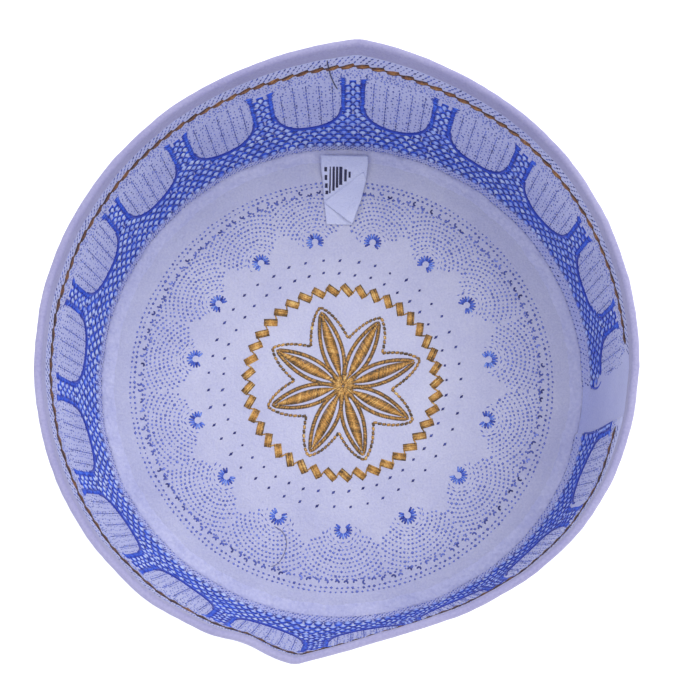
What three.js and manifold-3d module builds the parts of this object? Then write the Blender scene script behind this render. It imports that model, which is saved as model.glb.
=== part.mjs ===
// Prayer cap of quilted cloth, lying on its flat crown with the mouth up.
// Millimetres, +Z up. The origin is the middle of the crown's underside.
// Azimuths are degrees from +X towards +Y; the label is at the back, near +Y.

import * as THREE from 'three';
import Module from 'manifold-3d';
import { mergeVertices } from 'three/addons/utils/BufferGeometryUtils.js';

const wasm = await Module();
wasm.setup();

// Driving sizes
const capHeight = 76;
const crownRadius = 87.6;
const rimRadius = 92;
const clothWall = 1.6;
const pieceGap = 0.3;
const crownEdgeRound = 0.6;

const hemHeight = 6;
const hemThickness = 2.1;

const seamWidth = 5;
const seamThickness = 1.2;

const lapAzimuth = 346.5;
const lapStep = 0.8;
const lapLength = 24;
const lapEdgeWidth = 0.7;

const labelAzimuth = 89;
const labelWidth = 17.8;
const labelLength = 26;
const labelThickness = 1;
const labelInset = 1.5;
const labelRamp = 7;

// How the wall rises from the crown to the rim: 1 is a straight cone, less is fuller low down
const wallRise = 0.5;
const azimuthSteps = 144;

// Folds of the soft wall. Each pushes the wall out, or in where it is negative, over a spread
// of degrees to either side. atCrown is a share of crownRadius and atRim of rimRadius. Two rows
// at one azimuth with opposite atRim make a bulge that ends at the rim.
const wallFolds = [
  { azimuth: 86, spread: 30, atCrown: 0, atRim: 0.048, rise: 2.2, pointed: true },
  { azimuth: 77, spread: 71, atCrown: 0, atRim: 0.038, rise: 2.4, pointed: false },
  { azimuth: 243, spread: 94, atCrown: 0, atRim: 0.032, rise: 0.4, pointed: false },
  { azimuth: 252.5, spread: 7.4, atCrown: 0, atRim: -0.015, rise: 2, pointed: false },
  { azimuth: 262.5, spread: 22, atCrown: 0, atRim: 0.055, rise: 0.8, pointed: true },
  { azimuth: 270, spread: 80, atCrown: -0.031, atRim: 0, rise: 0.4, pointed: false },
  { azimuth: 282, spread: 53, atCrown: 0, atRim: -0.065, rise: 1, pointed: false },
  { azimuth: 267, spread: 32, atCrown: 0, atRim: 0.03, rise: 0.6, pointed: false },
  { azimuth: 267, spread: 32, atCrown: 0, atRim: -0.03, rise: 3, pointed: false },
  { azimuth: 350, spread: 85, atCrown: 0, atRim: 0.06, rise: 0.3, pointed: false },
  { azimuth: 350, spread: 85, atCrown: 0, atRim: -0.06, rise: 1, pointed: false },
];

// Section of the band: levels are shares of its height
const bandLevels = [0, 0.06, 0.16, 0.32, 0.54, 0.78, 1];

// Section of the hem round its rolled top: out is a share of half its thickness, drop a share
// of half its thickness below the rim
const hemTop = [
  { out: 1, drop: 1 },
  { out: 0.72, drop: 0.3 },
  { out: 0, drop: 0 },
  { out: -0.72, drop: 0.3 },
  { out: -1, drop: 1 },
];

// Outline of the label and of the flap folded over it: along is a share of labelLength from the
// seam, left and right are shares of labelWidth from its middle line
const labelRows = [
  { along: 0, left: -0.5, right: 0.5 },
  { along: 0.14, left: -0.49, right: 0.49 },
  { along: 0.25, left: -0.47, right: 0.47 },
  { along: 0.35, left: -0.45, right: 0.455 },
  { along: 0.65, left: -0.415, right: 0.29 },
  { along: 1, left: -0.35, right: 0.12 },
];
const flapRows = [
  { along: 0.25, left: 0.33, right: 0.35 },
  { along: 0.35, left: 0.17, right: 0.455 },
  { along: 0.65, left: -0.36, right: 0.29 },
  { along: 0.69, left: -0.4, right: 0.27 },
  { along: 0.99, left: 0.1, right: 0.12 },
];

// Materials

const whiteCloth = new THREE.MeshStandardMaterial({ color: 0xb9bbdd, roughness: 0.95, metalness: 0 });
const hemCloth = new THREE.MeshStandardMaterial({ color: 0xb0aed4, roughness: 0.95, metalness: 0 });
const labelRibbon = new THREE.MeshStandardMaterial({ color: 0xc3c6e4, roughness: 0.7, metalness: 0 });

// Shape of the cap

const radians = (degrees) => (degrees * Math.PI) / 180;

function foldShape(fold, azimuth) {
  const turned = Math.abs(((azimuth - fold.azimuth + 540) % 360) - 180);
  const share = Math.min(turned / fold.spread, 1);
  return fold.pointed ? (1 - share) ** 2 : (1 + Math.cos(Math.PI * share)) / 2;
}

// Outside radius of the wall at an azimuth and a height above the floor
function outerRadius(azimuth, z) {
  const height = Math.max(z - clothWall, 0) / (capHeight - clothWall);
  let radius = crownRadius + (rimRadius - crownRadius) * height ** wallRise;
  for (const fold of wallFolds) {
    const atCrown = fold.atCrown * crownRadius;
    const atRim = fold.atRim * rimRadius;
    const push = atCrown + (atRim - atCrown) * height ** fold.rise;
    radius += push * foldShape(fold, azimuth);
  }
  return radius;
}

// The band's two ends lap at the back seam: the upper end stands proud inside and fades away
function lapDepth(azimuth) {
  const past = (lapAzimuth - azimuth + 720) % 360;
  const fade = (lapLength / crownRadius) * (180 / Math.PI);
  return lapStep * Math.max(1 - past / fade, 0);
}

const innerRadius = (azimuth, z) => outerRadius(azimuth, z) - clothWall - lapDepth(azimuth);

// Azimuths of the sections, from the lapped edge once round to just before it. The nearest
// section moves onto each pointed fold, so that its crease stays sharp.
function sectionAzimuths() {
  const edge = (lapEdgeWidth / crownRadius) * (180 / Math.PI);
  const azimuths = [];
  for (let i = 0; i < azimuthSteps; i += 1) {
    azimuths.push(lapAzimuth + edge + ((360 - edge) * i) / (azimuthSteps - 1));
  }
  for (const fold of wallFolds.filter((row) => row.pointed)) {
    const away = (azimuth) => Math.abs(((azimuth - fold.azimuth + 540) % 360) - 180);
    let nearest = 1;
    for (let i = 1; i < azimuthSteps - 1; i += 1) {
      if (away(azimuths[i]) < away(azimuths[nearest])) nearest = i;
    }
    azimuths[nearest] = fold.azimuth + 360 * Math.round((azimuths[nearest] - fold.azimuth) / 360);
  }
  return azimuths;
}

const azimuths = sectionAzimuths();

function around(azimuth, radius, z) {
  return new THREE.Vector3(radius * Math.cos(radians(azimuth)), radius * Math.sin(radians(azimuth)), z);
}

// Closed meshes

function meshFrom(name, points, triangles, material) {
  const geometry = new THREE.BufferGeometry();
  geometry.setAttribute('position', new THREE.Float32BufferAttribute(points.flatMap((p) => p.toArray()), 3));
  geometry.setIndex(triangles);
  geometry.computeVertexNormals();
  const mesh = new THREE.Mesh(geometry, material);
  mesh.name = name;
  return mesh;
}

// A ring whose section at each azimuth is a loop of points, running up outside and down inside
function ringMesh(name, sectionAt, material) {
  const sections = azimuths.map(sectionAt);
  const count = sections[0].length;
  const triangles = [];
  sections.forEach((_, i) => {
    const here = i * count;
    const next = ((i + 1) % sections.length) * count;
    for (let j = 0; j < count; j += 1) {
      const k = (j + 1) % count;
      triangles.push(here + j, next + j, next + k, here + j, next + k, here + k);
    }
  });
  return meshFrom(name, sections.flat(), triangles, material);
}

// A disc whose edge profile runs from the underside out, up and back in on the top
function discMesh(name, bottomZ, topZ, profileAt, material) {
  const profiles = azimuths.map(profileAt);
  const count = profiles[0].length;
  const points = profiles.flat();
  const bottomCentre = points.push(new THREE.Vector3(0, 0, bottomZ)) - 1;
  const topCentre = points.push(new THREE.Vector3(0, 0, topZ)) - 1;
  const triangles = [];
  profiles.forEach((_, i) => {
    const here = i * count;
    const next = ((i + 1) % profiles.length) * count;
    triangles.push(bottomCentre, next, here);
    for (let j = 0; j < count - 1; j += 1) {
      triangles.push(here + j, next + j, next + j + 1, here + j, next + j + 1, here + j + 1);
    }
    triangles.push(topCentre, here + count - 1, next + count - 1);
  });
  return meshFrom(name, points, triangles, material);
}

// Crown: a flat disc of cloth that meets the wall at the crown seam

function crownPanel() {
  const profileAt = (azimuth) => {
    const edge = outerRadius(azimuth, clothWall);
    return [
      around(azimuth, edge - crownEdgeRound, 0),
      around(azimuth, edge, crownEdgeRound),
      around(azimuth, edge, clothWall - crownEdgeRound),
      around(azimuth, edge - crownEdgeRound, clothWall),
    ];
  };
  return discMesh('crown_panel', 0, clothWall, profileAt, whiteCloth);
}

// Seam allowance: the turned-in edges of crown and band, a flat ring inside the corner

const seamBottom = clothWall + pieceGap;
const seamTop = seamBottom + seamThickness;

function seamAllowance() {
  const sectionAt = (azimuth) => {
    const wall = Math.min(innerRadius(azimuth, clothWall), innerRadius(azimuth, seamTop));
    const outside = wall - pieceGap;
    const inside = outside - seamWidth;
    const round = seamThickness * 0.35;
    return [
      around(azimuth, outside, seamBottom),
      around(azimuth, outside, seamTop),
      around(azimuth, inside + round, seamTop),
      around(azimuth, inside, seamTop - round),
      around(azimuth, inside, seamBottom),
    ];
  };
  return ringMesh('seam_allowance', sectionAt, whiteCloth);
}

// Band: the wall of the cap, lapped at the back seam

function sideBand() {
  const bottom = clothWall + pieceGap;
  const top = capHeight - hemHeight - pieceGap;
  const heights = bandLevels.map((level) => bottom + (top - bottom) * level);
  const sectionAt = (azimuth) => [
    ...heights.map((z) => around(azimuth, outerRadius(azimuth, z), z)),
    ...heights.toReversed().map((z) => around(azimuth, innerRadius(azimuth, z), z)),
  ];
  return ringMesh('side_band', sectionAt, whiteCloth);
}

// Hem: the folded edge round the mouth, a little thicker than the band that it closes

function rimHem() {
  const half = hemThickness / 2;
  const bottom = capHeight - hemHeight;
  const sectionAt = (azimuth) => {
    const middle = outerRadius(azimuth, capHeight) - clothWall / 2;
    const lower = outerRadius(azimuth, bottom) - clothWall / 2;
    return [
      around(azimuth, lower + half, bottom),
      ...hemTop.map((row) => around(azimuth, middle + row.out * half, capHeight - row.drop * half)),
      around(azimuth, lower - half, bottom),
    ];
  };
  return ringMesh('rim_hem', sectionAt, hemCloth);
}

// Label: a ribbon sewn into the crown seam, lying over the seam allowance onto the crown,
// with its end folded back over it

// Height of the ribbon's underside at a distance from its sewn end
function labelLift(along) {
  const seamEnd = seamWidth - labelInset + 1;
  const share = THREE.MathUtils.smoothstep(along, seamEnd, seamEnd + labelRamp);
  return THREE.MathUtils.lerp(seamTop + pieceGap, clothWall + pieceGap, share);
}

// A layer of ribbon between two rows of edges, as a solid
function ribbonLayer(rows, under, over) {
  const steps = 5;
  const points = [];
  for (let i = 0; i < rows.length - 1; i += 1) {
    for (let k = i === 0 ? 0 : 1; k <= steps; k += 1) {
      const mix = (key) => THREE.MathUtils.lerp(rows[i][key], rows[i + 1][key], k / steps);
      const along = mix('along') * labelLength;
      const left = mix('left') * labelWidth;
      const right = mix('right') * labelWidth;
      const low = labelLift(along) + under;
      const high = labelLift(along) + over;
      points.push([left, -along, low], [left, -along, high], [right, -along, high], [right, -along, low]);
    }
  }
  const last = points.length - 4;
  const triangles = [0, 1, 2, 0, 2, 3, last, last + 2, last + 1, last, last + 3, last + 2];
  for (let here = 0; here < last; here += 4) {
    for (let j = 0; j < 4; j += 1) {
      const k = (j + 1) % 4;
      triangles.push(here + j, here + 4 + j, here + 4 + k, here + j, here + 4 + k, here + k);
    }
  }
  const solid = new wasm.Manifold(new wasm.Mesh({
    numProp: 3,
    vertProperties: new Float32Array(points.flat()),
    triVerts: new Uint32Array(triangles),
  }));
  return solid;
}

function label() {
  const ribbon = ribbonLayer(labelRows, 0, labelThickness);
  const flap = ribbonLayer(flapRows, labelThickness / 2, labelThickness * 2);
  const joined = ribbon.add(flap).getMesh();
  const geometry = new THREE.BufferGeometry();
  geometry.setAttribute('position', new THREE.BufferAttribute(new Float32Array(joined.vertProperties), 3));
  geometry.setIndex([...joined.triVerts]);
  const merged = mergeVertices(geometry);
  merged.computeVertexNormals();
  const mesh = new THREE.Mesh(merged, labelRibbon);
  mesh.name = 'label';
  const sewnRadius = innerRadius(labelAzimuth, clothWall) - pieceGap - labelInset;
  mesh.position.copy(around(labelAzimuth, sewnRadius, 0));
  mesh.rotation.z = radians(labelAzimuth - 90);
  return mesh;
}

const prayerCap = new THREE.Group();
prayerCap.name = 'prayer_cap';
prayerCap.add(crownPanel(), seamAllowance(), sideBand(), rimHem(), label());

export default prayerCap;
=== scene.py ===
import math
from collections import namedtuple

import bpy
import numpy as np
from mathutils import Matrix, Vector
from mathutils.bvhtree import BVHTree


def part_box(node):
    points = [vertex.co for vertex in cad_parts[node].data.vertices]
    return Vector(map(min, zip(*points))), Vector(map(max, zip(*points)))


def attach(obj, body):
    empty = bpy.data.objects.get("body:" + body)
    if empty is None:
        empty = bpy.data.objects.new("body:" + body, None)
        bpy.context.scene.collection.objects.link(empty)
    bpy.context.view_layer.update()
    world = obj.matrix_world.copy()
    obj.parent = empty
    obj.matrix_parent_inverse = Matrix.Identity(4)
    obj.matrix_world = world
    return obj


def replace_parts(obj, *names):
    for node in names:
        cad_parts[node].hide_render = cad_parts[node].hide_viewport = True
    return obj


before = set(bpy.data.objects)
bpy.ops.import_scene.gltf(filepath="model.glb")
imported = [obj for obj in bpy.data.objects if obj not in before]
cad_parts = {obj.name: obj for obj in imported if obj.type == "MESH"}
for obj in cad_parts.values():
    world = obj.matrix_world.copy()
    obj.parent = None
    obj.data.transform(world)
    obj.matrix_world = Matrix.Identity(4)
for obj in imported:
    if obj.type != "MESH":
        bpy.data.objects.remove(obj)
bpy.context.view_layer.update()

# The cap's lengths are in millimetres and its angles in degrees. Meshes, lights and floor are in metres.
MM = 0.001
rng = np.random.default_rng(7)

# Levels taken from the frame
crown_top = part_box("crown_panel")[1].z / MM
band_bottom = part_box("side_band")[0].z / MM
band_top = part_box("side_band")[1].z / MM
hem_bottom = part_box("rim_hem")[0].z / MM
rim_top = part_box("rim_hem")[1].z / MM
seam_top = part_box("seam_allowance")[1].z / MM

# Camera of the photograph
camera_place = (5.6, -64.6, 475.6)
camera_target = (3.47, 10.73, 2.0)
camera_lens = 67.94

# Cloth
crown_underside = 0.62
seam_width = 5.0
lap_azimuth = 346.5
mean_radius = 87.0
wall_columns = 720
cloth_columns = 480
crown_columns = 360
wall_levels = np.linspace(band_bottom + 0.05, band_top - 0.05, 26)

# Pattern of the crown, all on the crown's plane
Circle = namedtuple("Circle", "x y radius squash")
gold_ring = Circle(0.7, -0.8, 34.15, 0.99)
outer_specks = Circle(-2.0, -0.7, 45.7, 0.987)
inner_specks = Circle(-2.2, -0.75, 40.6, 0.987)
eye_circle = Circle(0.6, -1.0, 53.8, 0.984)
dot_circle = Circle(0.3, -1.0, 77.8, 0.979)
rosette_middle = np.array([0.9, -2.4])
ring_blocks = 41
ring_phase = -0.6
ring_block_length = 5.0
ring_block_width = 2.6
ring_block_threads = 7
speck_count = 46
speck_phase = 2.35
eye_count = 15
eye_phase = 5.9
eye_stitches = 13
scale_rows = 18
scale_row = 1.55
scale_edge = 71.7
dot_pitch = 1.42
hook_radius = 73.0
hook_pitch = 3.3
hook_size = 0.66

# reach is a share of the petal's length, valley a share of outline_valley for the dip after it
Petal = namedtuple("Petal", "azimuth reach valley")
petals = [
    Petal(19.2, 1.03, 1.09), Petal(60.9, 1.0, 1.03), Petal(106.2, 1.05, 1.09), Petal(151.4, 1.015, 1.03),
    Petal(195.4, 0.98, 1.0), Petal(243.7, 0.98, 0.99), Petal(286.2, 0.97, 1.0), Petal(333.2, 0.98, 1.03),
]
petal_length = 26.8
heart_stitches = 240
outline_reach = 28.7
outline_valley = 17.1
outline_dash = 1.4
outline_gap = 0.1

# Pattern of the wall: heights above the floor
net_bottom = 5.6
net_rows = 5
net_row = 3.15
net_pitch = 3.5
net_lift = 3.6
net_lift_azimuth = 12
bay_bottom = 22.6
bay_corner = 37.0
bay_half_width = 11.1
bay_roundness = 2.15
pillar_top = 57.0
pillar_pitch = 19.81
pillar_count = 18
pillar_half_width = 3.8
pillar_set_back = 2.0
satin_width = 1.7
satin_pitch = 0.46
first_pillar = 346.6
net_end = 357.3
chain_height = 63.8
chain_pitch = 4.6
chain_length = 4.2
chain_width = 1.75
chain_lean = 20
chain_threads = 6
dash_pitch = 1.75

# How a stitch is made: its width and height, the shares of the height (dip) and of the width (narrow) that
# are left at its ends, how much painted shade darkens its ends, and in swell its widths along it where they
# vary
Sewn = namedtuple("Sewn", "width height dip narrow dark swell", defaults=(0.1, 0.5, 0.45, None))
satin_stitch = Sewn(0.5, 0.34, 0.15, 0.7)
heart_stitch = Sewn(0.55, 0.5)
outline_stitch = Sewn(1.08, 0.42, 0.4, 0.85, 0.2)
ring_stitch = Sewn(0.5, 0.42, 0.45, 0.85, 0.35)
ring_link = Sewn(0.6, 0.3, 0.4, 0.5, 0.2)
eye_stitch = Sewn(0.84, 0.3, 0.3, 0.7, 0.2)
hook_stitch = Sewn(0.7, 0.26, 0.3, 0.7, 0.1)
ground_stitch = Sewn(net_pitch * 1.12, 0.12, 1, 1, 0)
arch_stitch = Sewn(0.68, 0.36, dark=0.0)
cell_stitch = Sewn(3.1, 0.5, 0.3, dark=0.2, swell=(0.3, 0.72, 1.0, 0.96, 0.62))
bay_stitch = Sewn(0.95, 0.42, dark=0.1)
net_end_stitch = Sewn(0.9, 0.45, dark=0.1)
strip_stitch = Sewn(0.56, 0.36, dark=0.25)
cut_stitch = Sewn(0.8, 0.4, dark=0.1)
row_stitch = Sewn(0.5, 0.16, narrow=0.7, dark=0.1)
chain_stitch = Sewn(0.5, 0.55, 0.3, dark=0.3)
chain_link = Sewn(0.6, 0.4, dark=0.1)
bar_stitch = Sewn(1.0, 0.08, 0.6, 1.0, 0.0)
wall_strand = Sewn(0.4, 0.5, dark=0)
crown_strand = Sewn(0.26, 0.4, dark=0)
# threads stand less far off the outside of the wall
outside_height = 0.6
# a short stitch has three points, from one end to the other
three_points = np.array([-1.0, 0.0, 1.0])


# Surfaces

def unit(vectors):
    return vectors / np.maximum(np.linalg.norm(vectors, axis=-1, keepdims=True), 1e-12)


def direction(azimuth):
    """The level unit vector towards an azimuth."""
    turn = np.radians(azimuth)
    return np.stack([np.cos(turn), np.sin(turn)], axis=-1)


def left_of(vectors):
    return np.stack([-vectors[..., 1], vectors[..., 0]], axis=-1)


def even_azimuths(count, shift=0.0):
    return (np.arange(count) + shift) * 360 / count


def smooth_noise(u, v, scale, seed):
    """A soft, repeatable ripple from a few crossed waves, between about -1 and 1."""
    draws = np.random.default_rng(seed)
    total = np.zeros(np.broadcast(u, v).shape)
    for _ in range(7):
        turn = draws.uniform(0, 2 * math.pi)
        size = scale * draws.uniform(0.6, 1.7)
        phase = draws.uniform(0, 2 * math.pi)
        total = total + np.sin((u * math.cos(turn) + v * math.sin(turn)) * 2 * math.pi / size + phase)
    return total / 4


def cad_tree(node):
    return BVHTree.FromObject(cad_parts[node], bpy.context.evaluated_depsgraph_get())


def ray_radius(tree, azimuth, height, inside):
    """Distance in millimetres from the axis to a CAD wall's inner or outer face."""
    outward = Vector((*direction(azimuth), 0))
    axis_point = Vector((0, 0, height * MM))
    reach = 0.2
    if inside:
        return tree.ray_cast(axis_point, outward)[3] / MM
    return (reach - tree.ray_cast(axis_point + outward * reach, -outward)[3]) / MM


def smooth_columns(table, reach):
    """Each row of a table that runs round the cap, averaged with its neighbours."""
    return sum(np.roll(table, shift, axis=0) for shift in range(-reach, reach + 1)) / (2 * reach + 1)


def sample_wall(inside):
    tree = cad_tree("side_band")
    table = np.array([
        [ray_radius(tree, azimuth, level, inside) for level in wall_levels]
        for azimuth in even_azimuths(wall_columns)
    ])
    # the step at the lapped edge stays sharp
    stepped = np.abs(np.roll(table, 2, axis=0) - np.roll(table, -2, axis=0)) > 0.5
    return np.where(stepped, table, smooth_columns(table, 2))


wall_tables = {True: sample_wall(True), False: sample_wall(False)}


def wall_ripple(azimuth, height):
    """Slow ripples that the band and the hem share."""
    along = np.radians(azimuth) * mean_radius
    return 0.15 * smooth_noise(along, height, 24, 3) + 0.05 * smooth_noise(along, height, 7, 4)


def wall_radius(azimuth, height, inside):
    azimuth, height = np.broadcast_arrays(np.asarray(azimuth, float), np.asarray(height, float))
    table = wall_tables[inside]
    column = (azimuth % 360) / 360 * wall_columns
    left = np.floor(column).astype(int) % wall_columns
    across = column - np.floor(column)
    right = (left + 1) % wall_columns
    step = wall_levels[1] - wall_levels[0]
    row = np.clip((height - wall_levels[0]) / step, 0, len(wall_levels) - 1.001)
    low = np.floor(row).astype(int)
    up = row - low
    lower = table[left, low] * (1 - across) + table[right, low] * across
    upper = table[left, low + 1] * (1 - across) + table[right, low + 1] * across
    return lower * (1 - up) + upper * up + wall_ripple(azimuth, height)


def ring_points(radius, azimuth, height):
    """Points at a radius, an azimuth and a height, each of which may be an array."""
    height = np.broadcast_to(height, radius.shape)
    return np.concatenate([radius[..., None] * direction(azimuth), height[..., None]], axis=-1)


def wall_point(azimuth, height, inside):
    return ring_points(wall_radius(azimuth, height, inside), azimuth, height)


def wall_steps(azimuth, height, inside):
    """Short steps on the wall at each place: sideways and up."""
    sideways = wall_point(azimuth + 0.3, height, inside) - wall_point(azimuth - 0.3, height, inside)
    up = wall_point(azimuth, height + 0.5, inside) - wall_point(azimuth, height - 0.5, inside)
    return sideways, up


def on_wall(azimuth, height, inside):
    """Points on the wall and the directions that stand off it."""
    azimuth, height = np.broadcast_arrays(azimuth, height)
    normal = unit(np.cross(*wall_steps(azimuth, height, inside)))
    return wall_point(azimuth, height, inside), -normal if inside else normal


def crown_height(x, y, inside):
    """Height of the crown cloth's upper or lower face."""
    near_seam = np.clip((np.hypot(x, y) - 78) / 6, 0, 1)
    pucker = 0.10 * smooth_noise(x, y, 22, 11) + (0.05 + 0.11 * near_seam) * smooth_noise(x, y, 6, 12)
    return crown_top - 0.1 + pucker if inside else crown_underside + 0.5 * pucker


def on_crown(places, inside):
    """Points on the crown cloth and the directions that stand off it."""
    height = crown_height(places[..., 0], places[..., 1], inside)
    points = np.concatenate([places, height[..., None]], axis=-1)
    normals = np.zeros(points.shape)
    normals[..., 2] = 1 if inside else -1
    return points, normals


def around(circle, radius, azimuth):
    """Places on the crown at a radius and azimuth about one of its circles."""
    return (circle.x, circle.y) + np.multiply(radius, direction(azimuth).T).T * (1, circle.squash)


# Meshes

def new_piece(name, points, faces, material, tone=None):
    mesh = bpy.data.meshes.new(name)
    corners = [face for block in faces for face in block.tolist()]
    mesh.from_pydata((points.reshape(-1, 3) * MM).tolist(), [], corners)
    if tone is not None:
        layer = mesh.attributes.new("tone", "FLOAT", "POINT")
        layer.data.foreach_set("value", np.asarray(tone, np.float32))
    mesh.polygons.foreach_set("use_smooth", np.ones(len(mesh.polygons), bool))
    mesh.materials.append(finish[material])
    mesh.update()
    piece = bpy.data.objects.new(name, mesh)
    bpy.context.scene.collection.objects.link(piece)
    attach(piece, "root")
    return piece


def each(value, count, axes):
    """One value for each stitch, with further axes of length one."""
    return np.broadcast_to(np.asarray(value, float), (count,)).reshape((count,) + (1,) * axes)


class Stitches:
    """Collects strips and dots of one thread into one mesh."""

    def __init__(self):
        self.parts = []
        self.total = 0

    def add(self, points, faces, tones):
        self.parts.append((points.reshape(-1, 3), faces + self.total, tones.ravel()))
        self.total += len(self.parts[-1][0])

    def threads(self, paths, normals, sewn, tone):
        """Closed strips, four-sided in section, one along each path. Each end dips into the cloth."""
        count, steps = paths.shape[:2]
        width, height, shade = (each(value, count, 2) for value in (sewn.width, sewn.height, tone))
        side = unit(np.cross(normals, unit(np.gradient(paths, axis=1))))
        ends = np.zeros(steps)
        ends[[0, -1]] = 1
        swell = 1 - (1 - sewn.narrow) * ends if sewn.swell is None else np.array(sewn.swell)
        half = side * width / 2 * swell[:, None]
        top = normals * height * (1 - (1 - sewn.dip) * ends)[:, None]
        bottom = normals * height * 0.35
        section = np.stack([paths + half, paths + top, paths - half, paths - bottom], axis=2)
        # painted shade: each strip is darker at its ends, where it dips into the cloth, and on its sides
        # and underside than on its top
        shade = shade - sewn.dark * ends[:, None] - np.array([0.12, 0, 0.12, 0.12])
        corner = np.arange(4)
        after = (corner + 1) % 4
        quads = np.stack([corner, after, after + 4, corner + 4], axis=-1)
        quads = (quads + np.arange(steps - 1)[:, None, None] * 4).reshape(-1, 4)
        caps = np.stack([corner[::-1], corner + (steps - 1) * 4])
        faces = np.concatenate([quads, caps]) + (np.arange(count) * steps * 4)[:, None, None]
        self.add(section, faces.reshape(-1, 4), np.broadcast_to(shade, section.shape[:3]))

    def seeds(self, centres, normals, along, length, width, height, tone):
        """Small raised dots: an eight-sided seed each."""
        count = len(centres)
        length, width, height, tone = (each(value, count, 1) for value in (length, width, height, tone))
        side = unit(np.cross(normals, along))
        forward, sideways = unit(np.cross(side, normals)) * length / 2, side * width / 2
        points = np.stack([
            centres + forward, centres + sideways, centres - forward, centres - sideways,
            centres + normals * height, centres - normals * height * 0.5,
        ], axis=1)
        corner = np.arange(4)
        after = (corner + 1) % 4
        upper, lower = np.full(4, 4), np.full(4, 5)
        faces = np.stack([[corner, after, upper], [after, corner, lower]]).transpose(0, 2, 1).reshape(-1, 3)
        faces = faces + (np.arange(count) * 6)[:, None, None]
        # painted shade: the seed's sides and underside are darker than its top point
        self.add(points, faces.reshape(-1, 3), tone - np.array([0.1, 0.1, 0.1, 0.1, 0, 0.1]))

    def piece(self, name, material, slot):
        points, faces, tones = zip(*self.parts)
        return new_piece(name, np.concatenate(points), faces, material, np.concatenate(tones))


def wander(count, amount):
    return rng.normal(0, amount, count)


# Materials

def srgb(colour):
    """A colour given as it shows on screen, 0 to 255, as Blender's linear values."""
    shares = np.array(colour) / 255
    linear = np.where(shares <= 0.04045, shares / 12.92, ((shares + 0.055) / 1.055) ** 2.4)
    return (*linear.tolist(), 1)


def new_material(name, roughness, sheen, specular=0.2):
    material = bpy.data.materials.new(name)
    material.use_nodes = True
    shader = material.node_tree.nodes["Principled BSDF"]
    shader.inputs["Roughness"].default_value = roughness
    shader.inputs["Sheen Weight"].default_value = sheen
    shader.inputs["Sheen Roughness"].default_value = 0.5
    shader.inputs["Specular IOR Level"].default_value = specular
    return material, material.node_tree, shader


def add_node(tree, kind, output, inputs, **settings):
    """A shader node, whose inputs are numbers or the sockets that feed them."""
    node = tree.nodes.new("ShaderNode" + kind)
    for name, value in settings.items():
        setattr(node, name, value)
    for key, value in inputs.items():
        if isinstance(value, (int, float)):
            node.inputs[key].default_value = value
        else:
            tree.links.new(value, node.inputs[key])
    return node.outputs[output]


def noise(tree, scale, detail):
    place = add_node(tree, "TexCoord", "Object", {})
    return add_node(tree, "TexNoise", "Fac", {"Vector": place, "Scale": scale, "Detail": detail})


def combine(tree, operation, first, second):
    return add_node(tree, "Math", 0, {0: first, 1: second}, operation=operation)


def bump(tree, height, strength, distance, **under):
    inputs = {"Height": height, "Strength": strength, "Distance": distance, **under}
    return add_node(tree, "Bump", "Normal", inputs)


def paint(tree, shader, factor, stops):
    """Colours the shader from a ramp of (place, colour) stops."""
    ramp = tree.nodes.new("ShaderNodeValToRGB")
    elements = ramp.color_ramp.elements
    while len(elements) < len(stops):
        elements.new(0.5)
    for element, (place, colour) in zip(elements, stops):
        element.position = place
        element.color = colour
    tree.links.new(factor, ramp.inputs["Fac"])
    tree.links.new(ramp.outputs["Color"], shader.inputs["Base Color"])


def cloth_material(name, light, dark, weave_scale, fuzz_scale, nap_height=0.0006):
    """Soft white cloth: slow colour drift, a fine weave and a felted nap."""
    material, tree, shader = new_material(name, 0.95, 0.35)
    grain = noise(tree, weave_scale, 2)
    drift = combine(tree, "MULTIPLY", noise(tree, 45, 3), 0.5)
    tone = combine(tree, "ADD", drift, combine(tree, "MULTIPLY", grain, 0.5))
    paint(tree, shader, tone, [(0.3, srgb(dark)), (0.7, srgb(light))])
    nap = bump(tree, noise(tree, fuzz_scale, 4), 0.5, nap_height)
    tree.links.new(bump(tree, grain, 0.6, 0.00025, Normal=nap), shader.inputs["Normal"])
    return material


def thread_material(name, dark, middle, light, roughness, glint=0.5):
    """Embroidery thread: its tone is stored on each stitch, with painted shade where it enters the cloth.
    """
    material, tree, shader = new_material(name, roughness, 0.15, 0.5)
    stored = add_node(tree, "Attribute", "Fac", {}, attribute_name="tone")
    speckle = combine(tree, "SUBTRACT", noise(tree, 1900, 2), 0.5)
    tone = combine(tree, "ADD", stored, combine(tree, "MULTIPLY", speckle, glint))
    paint(tree, shader, tone, [(0.0, srgb(dark)), (0.5, srgb(middle)), (1.0, srgb(light))])
    tree.links.new(bump(tree, noise(tree, 3600, 2), 0.5, 0.0001), shader.inputs["Normal"])
    return material


# light and dark colour, scale of the weave, scale of the nap; seam_cotton also has a higher nap
cloths = {
    "crown_cotton": ((215, 215, 231), (189, 190, 218), 1500, 420),
    "seam_cotton": ((219, 219, 240), (185, 187, 221), 900, 240, 0.0022),
    "band_cotton": ((200, 204, 238), (173, 178, 224), 1500, 420),
    # painted shade: the hem's cotton is darker than the band's, for the shade on the rolled rim
    "shaded_hem_cotton": ((167, 165, 202), (144, 142, 187), 1300, 380),
    "ribbon_satin": ((226, 229, 250), (208, 212, 240), 2600, 900),
}
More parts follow.
